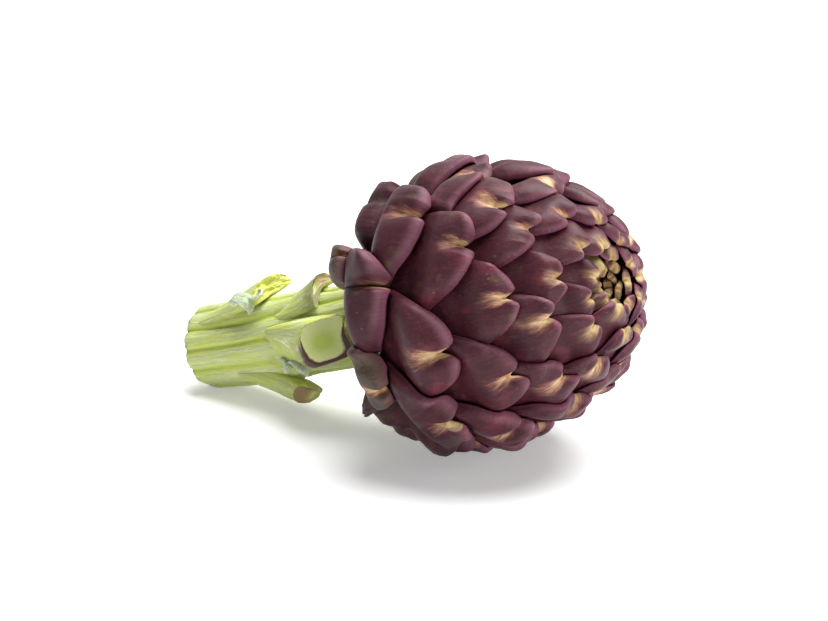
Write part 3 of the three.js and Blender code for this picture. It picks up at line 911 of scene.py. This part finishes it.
def leaflet_tree():
    """A small woolly leaf: a thin sheet, pointed, cupped across and curled up along."""
    tree = GeometryTree("Leaflet", LEAFLET_SIZES, (("Material", "Material"),))
    t = tree.tree
    rows, columns = tree.given("Rows", "Columns")
    grid, x, y = tree.grid(columns, rows)
    grid, u = tree.store(grid, "u", y / rows + 0.5)
    grid, v = tree.store(grid, "v", x / columns * 2.0)
    seed, length, half = tree.given("Seed", "Length", "Half Width")
    wavy = noise(t, (u * 4.0, v * 1.5, seed), 1.0, 2.0) - 0.5
    frayed = noise(t, (u * 14.0, v * 3.0, seed), 1.0, 2.0) - 0.5
    wide = half * (sin(u ** 0.8 * math.pi) ** 0.6 * (1.0 + frayed * 0.5) + 0.06)
    turn = tree.given("Curl") * u ** 1.3
    radius = length / (tree.given("Curl") * 1.15)
    cup = tree.given("Cup") * v
    rise_by = radius * (1.0 - cos(turn)) + wide * (1.0 - cos(cup)) * cos(turn)
    across_by = wide * sin(cup) / tree.given("Cup")
    along_by = radius * sin(turn) - wide * (1.0 - cos(cup)) * sin(turn)
    along, out = tree.given("Along Direction", "Out Direction")
    across = cross(along, out)
    middle = tree.given("Root Place") + along * along_by + across * across_by + out * rise_by
    middle = middle + out * (wavy * half * 0.4)
    face = out * cos(turn) * cos(cup) - along * sin(turn) * cos(cup) - across * sin(cup)
    from_rim = smaller(smaller(u, 1.0 - u) * length, (1.0 - abs(v)) * wide)
    half_thick = tree.given("Thickness") * 0.5 * rounded(from_rim / tree.given("Thickness"))
    grid, _ = tree.store(grid, "part", (v * wide / MM, u * length / MM, from_rim / MM))
    front = tree.moved(grid, middle + face * half_thick)
    back = tree.flipped(tree.moved(grid, middle - face * half_thick))
    tree.finish(tree.welded(tree.joined(front, back)), "part")
    return tree


def leaflet_values(name, seed):
    """The inputs of the leaflet tree for one leaflet."""
    share, around, height, length, half, turn, curl, cup = LEAFLETS[name]
    place, along, out = off_stem(share, around, height)
    return {
        "Root Place": place,
        "Along Direction": along * math.cos(rad(turn)) + out.cross(along) * math.sin(rad(turn)),
        "Out Direction": out, "Length": length * MM, "Half Width": half * MM,
        "Curl": rad(curl), "Cup": rad(cup), "Thickness": 0.7 * MM, "Rows": 60.0,
        "Columns": 24.0, "Seed": seed,
    }


def grow_stem(materials):
    values = {
        "End Place": STEM_END, "Bend Place": STEM_BEND, "Top Place": STEM_TOP,
        "Radius": STEM_RADIUS - 0.7 * MM, "Rib Height": 1.0 * MM, "Flare": 5.5 * MM,
        "Rows": 130.0, "Columns": 220.0, "Seed": 3.0, "Material": materials["stem"],
    }
    made = {"stem": grown("stem_skin", stem_tree(), values)}
    tree = stalk_tree()
    for seed, name in enumerate(STALKS):
        values = stalk_values(name, seed * 5.3 + 2)
        values["Material"] = materials["stalk"]
        made[name] = grown(f"{name}_flesh", tree, values)
    tree = leaflet_tree()
    for seed, name in enumerate(LEAFLETS):
        values = leaflet_values(name, seed * 3.1 + 1)
        values["Material"] = materials["leaflet"]
        made[name] = grown(f"{name}_sheet", tree, values)
    return made


# ---- Finishes --------------------------------------------------------------------------------


class Finish:
    """A material, its Principled shader, and short ways to build what feeds it. The colour it
    starts from is painted over, coat by coat."""

    def __init__(self, name, color, constants):
        self.color = color
        self.material = bpy.data.materials.new(name)
        self.material.use_nodes = True
        self.tree = self.material.node_tree
        self.shader = self.tree.nodes["Principled BSDF"]
        for label, value in constants.items():
            self.shader.inputs[label].default_value = value

    def attribute(self, name):
        made = add_node(self.tree, "ShaderNodeAttribute", attribute_name=name)
        return Field(self.tree, made.outputs["Vector"]).parts()

    def place(self):
        made = add_node(self.tree, "ShaderNodeTexCoord")
        return Field(self.tree, made.outputs["Object"])

    def group(self, tree, **values):
        made = add_node(self.tree, "ShaderNodeGroup", node_tree=tree)
        for label, value in values.items():
            feed(self.tree, made.inputs[label.replace("_", " ").title()], value)
        found = [Field(self.tree, socket) for socket in made.outputs]
        return found if len(found) > 1 else found[0]

    def coat(self, color, share):
        """Lays a colour over what is painted so far, by share."""
        self.color = blend(self.tree, self.color, color, share)

    def finish(self, roughness, height, bump):
        """Feeds the shader. Height is in millimetres."""
        feed(self.tree, self.shader.inputs["Base Color"], self.color)
        feed(self.tree, self.shader.inputs["Roughness"], roughness)
        made = add_node(self.tree, "ShaderNodeBump")
        made.inputs["Strength"].default_value = bump
        made.inputs["Distance"].default_value = MM
        feed(self.tree, made.inputs["Height"], height)
        self.tree.links.new(made.outputs["Normal"], self.shader.inputs["Normal"])
        return self.material


def blend(tree, under, over, share):
    """One colour over another, by share. Colours are triples or fields."""
    made = add_node(tree, "ShaderNodeMix", data_type="RGBA")
    sockets = [socket for socket in made.inputs if socket.enabled]
    feed(tree, sockets[0], share)
    for socket, color in zip(sockets[1:], (under, over)):
        feed(tree, socket, (*color, 1) if isinstance(color, tuple) else color)
    found = [socket for socket in made.outputs if socket.enabled]
    return Field(tree, found[0])


def shader_group(name, inputs, outputs, build):
    """A shader node group with named number inputs, and outputs made by build."""
    tree = bpy.data.node_groups.new(name, "ShaderNodeTree")
    for label, value in inputs.items():
        made = tree.interface.new_socket(label, in_out="INPUT", socket_type="NodeSocketFloat")
        made.default_value = value
    for label in outputs:
        tree.interface.new_socket(label, in_out="OUTPUT", socket_type="NodeSocketFloat")
    start, end = add_node(tree, "NodeGroupInput"), add_node(tree, "NodeGroupOutput")
    results = build(tree, *[Field(tree, start.outputs[label]) for label in inputs])
    for socket, value in zip(end.inputs, results):
        feed(tree, socket, value)
    return tree


def build_fibres(tree, across, along, width, length, seed):
    """Streaks that run along a leaf or stem: coarse ones, and fine ones between them."""
    place = vector(tree, across / width, along / length, seed)
    coarse = noise(tree, place, 1.0, 3.0, 0.6)
    fine = noise(tree, (across / width * 2.7, along / length * 2.0, seed), 1.0, 2.0)
    return coarse, fine


def build_blotches(tree, across, along, width, amount, seed):
    """Soft patches: 0 between them and 1 inside, over a share of the surface."""
    place = vector(tree, across / width, along / width * 0.7, seed)
    field = noise(tree, place, 1.0, 3.0, 0.55)
    start = 0.68 - amount * 0.3
    return (rise(field, start, start + 0.16),)


def build_specks(tree, across, along, width, seed):
    """Scattered pale dots."""
    place = vector(tree, across / width, along / width * 0.6, seed)
    dots = add_node(tree, "ShaderNodeTexVoronoi")
    feed(tree, dots.inputs["Vector"], place)
    dots.inputs["Scale"].default_value = 1.0
    distance = Field(tree, dots.outputs["Distance"])
    some = rise(noise(tree, place * 0.37, 1.0, 1.0), 0.52, 0.7)
    return ((1.0 - rise(distance, 0.08, 0.22)) * some,)


def shared_effects():
    return {
        "fibres": shader_group(
            "Fibres", {"Across": 0, "Along": 0, "Width": 1, "Length": 8, "Seed": 0},
            ("Coarse", "Fine"), build_fibres,
        ),
        "blotches": shader_group(
            "Blotches", {"Across": 0, "Along": 0, "Width": 8, "Amount": 0.3, "Seed": 0},
            ("Blotch",), build_blotches,
        ),
        "specks": shader_group(
            "Specks", {"Across": 0, "Along": 0, "Width": 1.2, "Seed": 0},
            ("Speck",), build_specks,
        ),
    }


WINE = (0.066, 0.0125, 0.021)
DEEP_WINE = (0.026, 0.0065, 0.0125)
RED_WINE = (0.15, 0.023, 0.036)
# Grey-violet of the wax film; it is also the colour of the painted sheen on the lobes' rims.
BLOOM_AND_SHEEN = (0.27, 0.11, 0.155)
OLIVE = (0.11, 0.085, 0.03)
OLD_GREEN = (0.19, 0.17, 0.09)
ROSE_EDGE = (0.27, 0.07, 0.14)
TAN_PATCH = (0.4, 0.18, 0.125)
CREAM = (0.76, 0.62, 0.31)
OLIVE_TAN = (0.36, 0.22, 0.11)
YELLOW_CREAM = (0.66, 0.6, 0.27)
SPINE_BROWN = (0.3, 0.12, 0.025)
HEART_GREEN = (0.24, 0.19, 0.06)
ROOT_GREEN = (0.34, 0.36, 0.1)


def bract_finish(name, effects, olive):
    """Waxy purple skin with fine fibres, a pale wax film on the lobes, and a cream patch that
    fans out behind the notch, larger and yellower on young bracts. Olive tints the old ones.
    There is painted light too: a painted sheen lightens the lobes' rims over the wax film,
    and painted shade darkens the body between the rims."""
    skin = Finish(name, WINE, {"Specular IOR Level": 0.18})
    tree = skin.tree
    across, behind, from_edge = skin.attribute("leaf")
    youth, chance, size = skin.attribute("trait")
    share, age, _ = skin.attribute("share")
    here = {"across": across, "along": behind}
    seed = chance * 90.0
    coarse, fine = skin.group(effects["fibres"], **here, width=0.8, length=7.0, seed=seed)
    red = skin.group(effects["blotches"], **here, width=7.0, amount=0.5, seed=seed + 7.0)
    dark = skin.group(effects["blotches"], **here, width=9.0, amount=0.5, seed=seed + 3.0)
    green = skin.group(effects["blotches"], **here, width=4.5, amount=olive, seed=seed)
    grain = noise(tree, (across * 1.5, behind * 0.9, seed), 1.0, 4.0, 0.75)
    speck = skin.group(effects["specks"], **here, width=1.5, seed=seed)
    skin.coat(RED_WINE, red * (0.55 + 0.45 * chance))
    skin.coat(DEEP_WINE, dark * 0.7)
    skin.coat(OLIVE, green * (0.35 + 0.55 * olive))
    old = rise(grain + coarse + olive + age * age * 0.15 - behind / size * 0.3, 1.4, 2.2) * olive
    skin.coat(OLD_GREEN, old)
    skin.coat(OLIVE, rise(grain, 0.5, 0.75) * 0.2)
    skin.coat(BLOOM_AND_SHEEN, rise(coarse, 0.45, 0.8) * 0.12)
    skin.coat(DEEP_WINE, rise(1.0 - fine, 0.45, 0.75) * 0.35)
    skin.coat(DEEP_WINE, rise(1.0 - grain, 0.45, 0.75) * 0.6)
    skin.coat(DEEP_WINE, age * 0.55)
    root_end = rise(share + (coarse - 0.5) * 0.25, 0.72, 0.95) * min(olive * 2.0, 1.0)
    skin.coat(ROOT_GREEN, root_end * 0.85)
    near_edge = 1.0 - rise(from_edge, size * 0.02, size * 0.17)
    front = 1.0 - rise(behind / size, -0.1, 0.4)
    # Painted shade: away from the rims the body is darkened, against the painted highlight on the
    # rims.
    skin.coat(DEEP_WINE, (1.0 - near_edge) * 0.22)
    # Painted sheen: the rims near the front are lightened, partly the real wax film and partly a
    # painted highlight where the rims catch the light.
    rim_bloom_and_sheen = near_edge * front * (0.3 + fine * 0.9)
    skin.coat(BLOOM_AND_SHEEN, limit(rim_bloom_and_sheen * (0.52 - 0.4 * old)))
    skin.coat(BLOOM_AND_SHEEN, speck * 0.35)
    rim = (1.0 - rise(from_edge, 0.1, 0.4)) * (0.1 + 0.5 * youth + coarse * 0.35)
    skin.coat(ROSE_EDGE, limit(rim))

    # The patch fans back from the notch in streaks.
    back = larger(behind, 0.0)
    fan = across / (back * 0.38 + size * (0.05 + 0.13 * youth))
    reach = behind / (size * (0.26 + 0.24 * chance + 0.14 * youth))
    streaks = noise(tree, (fan * 2.6, behind * 0.16, seed), 1.0, 3.0, 0.6)
    streaks_fine = noise(tree, (across * 3.5, behind * 0.5, seed), 1.0, 2.0)
    lopsided = fan + chance * 0.8 - 0.4
    patch = 0.95 + 0.35 * chance - lopsided * lopsided * 0.5 - reach
    patch = patch + (streaks - 0.5) * (1.5 - 0.6 * youth)
    halo = rise(patch + (streaks_fine - 0.5) * 0.6, -0.2, 1.0)
    young = limit(youth * 1.7)
    skin.coat(blend(tree, TAN_PATCH, OLIVE_TAN, young), halo * 0.85)
    core = patch + (streaks_fine - 0.5) * 1.0 - 0.3
    cream = blend(tree, CREAM, YELLOW_CREAM, young)
    kept_cream = 1.0 - youth * (0.65 - rise(chance, 0.25, 0.7) * 0.5)
    skin.coat(cream, rise(core, 0.0, 1.2) * kept_cream * 0.85)
    heart = rise(youth + (coarse - 0.5) * 0.5, 0.85, 1.1)
    skin.coat(HEART_GREEN, heart * 0.7)
    spine = bell(across / 0.6) * bell((behind - 0.4) / 0.9)
    skin.coat(SPINE_BROWN, spine * 0.85)

    roughness = 0.34 + fine * 0.16 + rim_bloom_and_sheen * 0.12
    height = coarse * 0.16 + fine * 0.08 + grain * 0.16 + speck * 0.03
    return skin.finish(roughness, height, 0.7)


FELT = (0.53, 0.6, 0.23)
LEAF_GREEN = (0.3, 0.42, 0.07)
YELLOW_GREEN = (0.5, 0.56, 0.07)
PALE_FRINGE = (0.86, 0.88, 0.66)
CUT_BROWN = (0.2, 0.09, 0.04)
FLESH = (0.42, 0.52, 0.1)
PALE_FLESH = (0.62, 0.66, 0.28)
DARK_SKIN = (0.055, 0.014, 0.02)
INNER_YELLOW = (0.56, 0.58, 0.1)
DRY_TAN = (0.3, 0.2, 0.1)
LEAFLET_GREEN = (0.22, 0.32, 0.14)
WOOL = (0.6, 0.66, 0.5)


def felted_skin(skin, effects, around, along, ridge, groove):
    """Paints the stem's skin, pale felt over yellow-green with torn fringes, and painted shade
    in the sharp grooves. Gives its height. The ridge value is 1 on a rib and -1 between ribs,
    the groove value 1 in a sharp groove."""
    coarse, fine = skin.group(
        effects["fibres"], across=around, along=along, width=0.7, length=9.0, seed=4.0
    )
    bare = skin.group(
        effects["blotches"], across=around, along=along * 0.3, width=4.0, amount=0.6, seed=2.0
    )
    worn = skin.group(
        effects["blotches"], across=around * 1.5, along=along, width=2.6, amount=0.5, seed=8.0
    )
    low = 1.0 - rise(ridge + (coarse - 0.5) * 2.6, -0.9, 0.5)
    skin.coat(YELLOW_GREEN, low * 0.7)
    # Painted shade: darker green in the sharp grooves.
    skin.coat(LEAF_GREEN, rise(groove + (fine - 0.5) * 1.4, 0.45, 1.0) * 0.5)
    skin.coat(YELLOW_GREEN, bare * 0.6)
    skin.coat(LEAF_GREEN, rise(1.0 - coarse, 0.5, 0.8) * 0.35)
    skin.coat(LEAF_GREEN, rise(1.0 - fine, 0.5, 0.8) * 0.2)
    fringe = bell((ridge - 0.35 + (coarse - 0.5) * 1.8) / 0.16) * rise(fine, 0.35, 0.55)
    fluff = worn * rise(fine, 0.48, 0.62)
    skin.coat(PALE_FRINGE, limit(fringe * 0.85 + fluff * 0.55))
    return coarse * 0.35 + fine * 0.2 + fringe * 0.35 + fluff * 0.2


def stem_finish(name, effects):
    """Felted pale green skin, brown marks at the cut rim, and a juicy cut end."""
    skin = Finish(name, FELT, {"Specular IOR Level": 0.25, "Sheen Weight": 0.15})
    tree = skin.tree
    around, along, inward = skin.attribute("part")
    ridge, groove, _ = skin.attribute("ridge")
    height = felted_skin(skin, effects, around, along, ridge, groove)
    dots = noise(tree, (around * 0.5, along * 0.5, 3.0), 1.0, 3.0)
    marks = rise(dots, 0.52, 0.64) * (1.0 - rise(along, 0.3, 2.0))
    skin.coat(CUT_BROWN, limit(marks + rise(dots, 0.68, 0.76) * 0.35))
    cut = rise(inward, 0.02, 0.2)
    pith = rise(inward, 3.0, 6.0)
    face = blend(tree, FLESH, PALE_FLESH, pith)
    dot_ring = noise(tree, skin.place() * 900.0, 1.0, 2.0)
    face = blend(tree, face, CUT_BROWN, rise(dot_ring, 0.55, 0.8) * 0.35)
    skin.coat(face, cut)
    return skin.finish(0.62, height * (1.0 - cut) + dot_ring * cut * 0.3, 0.8)


def stalk_finish(name, effects):
    """Leaf stalk: the stem's skin, purple on some, and a juicy or dried cut face."""
    skin = Finish(name, FELT, {"Specular IOR Level": 0.3})
    tree = skin.tree
    around, along, inward = skin.attribute("part")
    purple, outer, deep = skin.attribute("trait")
    across, up, dry = skin.attribute("section")
    stripes = noise(tree, (around * 0.35, along * 0.04, 7.0), 1.0, 2.0)
    height = felted_skin(skin, effects, around, along, (stripes - 0.5) * 4.0, 0.0)
    uneven = noise(tree, (around * 0.3, along * 0.15, 5.0), 1.0, 3.0) - 0.5
    stain = limit(rise(along + uneven * 10.0, 15.0, 28.0) * purple * rise(across, -5.0, 2.0))
    skin.coat(DARK_SKIN, stain * 0.95)
    inner_face = (1.0 - rise(outer, -0.5, 0.0)) * rise(along, 3.0, 12.0)
    skin.coat(INNER_YELLOW, inner_face * 0.7)
    grain = noise(tree, (across * 1.2, up * 1.2, 0.0), 1.0, 3.0)
    thick_side = rise(across, -6.0, 4.0) + (1.0 - rise(up, -5.0, 0.0)) * rise(across, -6.0, 2.0)
    rim_width = 0.18 + thick_side * 0.9 + (grain - 0.5) * 0.5
    rim = 1.0 - rise(inward / rim_width, 0.75, 1.3)
    middle = bell(across / 4.0) * bell(up / (deep * 0.6))
    flesh = blend(tree, PALE_FLESH, FLESH, limit(middle * 1.3 + (grain - 0.5) * 0.6))
    flesh = blend(tree, flesh, INNER_YELLOW, (1.0 - limit(purple * 2.0)) * 0.8)
    flesh = blend(tree, flesh, DRY_TAN, limit(dry * (0.9 + grain) * rise(-across, -6.0, 2.0)))
    face = blend(tree, flesh, DARK_SKIN, rim * limit(purple * 1.4))
    cut = rise(inward, 0.02, 0.25)
    skin.coat(face, cut)
    return skin.finish(0.55, height * (1.0 - cut) + grain * cut * 0.3, 0.7)


def leaflet_finish(name, effects):
    """Grey-green wool, paler along the edges."""
    skin = Finish(name, LEAFLET_GREEN, {"Specular IOR Level": 0.15, "Sheen Weight": 0.3})
    across, along, from_rim = skin.attribute("part")
    coarse, fine = skin.group(
        effects["fibres"], across=across, along=along, width=0.4, length=2.5, seed=6.0
    )
    skin.coat(WOOL, rise(coarse + fine * 0.5, 0.5, 0.95))
    skin.coat(WOOL, (1.0 - rise(from_rim, 0.0, 0.7)) * 0.9)
    return skin.finish(0.8, coarse * 0.25 + fine * 0.2, 0.8)


# ---- Stage -----------------------------------------------------------------------------------

FLOOR_WIDTH = 6
FLOOR_COLOR = (0.85, 0.85, 0.85)
FLOOR_LIFT = 0.3  # by which the floor is brighter to the camera than its light makes it
SOFT_LIGHT = 0.11  # how strongly the white all round lights things
CAMERA_AZIMUTH = rad(37.456)
CAMERA_RISE = rad(18)
CAMERA_DISTANCE = 0.9
LENS, SENSOR_WIDTH = 113.93, 36
AIM_RIGHT, AIM_UP = -18.394 * MM, -1.7575 * MM  # from the bud's centre to what is aimed at


def seen_rays(tree):
    """1 for rays from the camera and in reflections, 0 for those that only light things."""
    path = add_node(tree, "ShaderNodeLightPath")
    seen = Field(tree, path.outputs["Is Camera Ray"])
    for label in ("Is Glossy Ray", "Is Transmission Ray"):
        seen = larger(seen, Field(tree, path.outputs[label]))
    return seen


def floor_material():
    """Matt and pale. What the camera sees of it is brightened, and keeps its shadows."""
    material = bpy.data.materials.new("floor")
    material.use_nodes = True
    tree = material.node_tree
    shader = tree.nodes["Principled BSDF"]
    shader.inputs["Base Color"].default_value = (*FLOOR_COLOR, 1)
    shader.inputs["Roughness"].default_value = 0.8
    shader.inputs["Emission Color"].default_value = (1, 1, 1, 1)
    feed(tree, shader.inputs["Emission Strength"], seen_rays(tree) * FLOOR_LIFT)
    return material


def set_up_camera():
    """Returns the point aimed at, and the directions back to the camera, right and up."""
    a, e = CAMERA_AZIMUTH, CAMERA_RISE
    back = Vector((math.sin(a) * math.cos(e), -math.cos(a) * math.cos(e), math.sin(e)))
    right = Vector((math.cos(a), math.sin(a), 0))
    up = back.cross(right)
    target = HEAD_CENTRE + right * AIM_RIGHT + up * AIM_UP
    data = bpy.data.cameras.new("camera")
    data.lens = LENS
    data.sensor_width = SENSOR_WIDTH
    camera = bpy.data.objects.new("camera", data)
    camera.matrix_world = Matrix.Translation(target + back * CAMERA_DISTANCE) @ Matrix(
        (right, up, back)
    ).transposed().to_4x4()
    bpy.context.scene.collection.objects.link(camera)
    bpy.context.scene.camera = camera
    return target, back, right, up


def set_up_world():
    """White behind the artichoke and in reflections, and a weaker soft light from it."""
    world = bpy.data.worlds.new("world")
    bpy.context.scene.world = world
    world.use_nodes = True
    tree = world.node_tree
    background = tree.nodes["Background"]
    background.inputs["Color"].default_value = (1, 1, 1, 1)
    feed(tree, background.inputs["Strength"], mix(SOFT_LIGHT, 1.0, seen_rays(tree)))


def add_lamp(name, place, target, width, power):
    data = bpy.data.lights.new(name, "AREA")
    data.shape = "DISK"
    data.size = width
    data.energy = power
    lamp = bpy.data.objects.new(name, data)
    lamp.location = place
    lamp.rotation_euler = (target - place).to_track_quat("-Z", "Y").to_euler()
    bpy.context.scene.collection.objects.link(lamp)


def add_lamps(target, back, right, up):
    """The main light from above, and weaker ones from the right and from low in front."""
    key = target + up + right * 0.28 + back * 0.15
    add_lamp("key", key, target, width=1.1, power=30)
    side = target + right * 1.0 + up * 0.2 + back * 0.2
    add_lamp("side", side, target, width=0.6, power=3.5)
    low = target + back * 0.8 + right * 0.35 - up * 0.25
    add_lamp("low", low, target, width=0.3, power=4.2)


scene = bpy.context.scene
scene.view_settings.view_transform = "Standard"
set_up_world()
add_lamps(*set_up_camera())

effects = shared_effects()
under = bpy.data.collections.new("under")
scene.collection.children.link(under)
under.objects.link(frame["nodes"]["stem"])
materials = {
    "bract": bract_finish("bract skin", effects, 0.35),
    "bract_low": bract_finish("low bract skin", effects, 0.85),
    "heart": bract_finish("inner bract skin", effects, 0.1),
    "stem": stem_finish("stem skin", effects),
    "stalk": stalk_finish("stalk skin", effects),
    "leaflet": leaflet_finish("leaflet wool", effects),
}
heart = grow_heart(materials["heart"])
under.objects.link(heart)
made = lay_bracts(under, materials)
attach(heart, "root")
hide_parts("bud_heart")
for piece in list(under.objects):
    under.objects.unlink(piece)
scene.collection.children.unlink(under)
for number, (piece, slot) in made.items():
    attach(piece, "root")
    place = place_of(number)
    if place <= CAD_BRACTS:
        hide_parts(f"bract_{place:02d}")
for name, piece in grow_stem(materials).items():
    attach(piece, "root")
    if name in frame["nodes"]:
        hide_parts(name)

bpy.ops.mesh.primitive_plane_add(size=FLOOR_WIDTH, location=(0, 0, 0))
floor = bpy.context.object
floor.name = "floor"
floor.data.materials.append(floor_material())
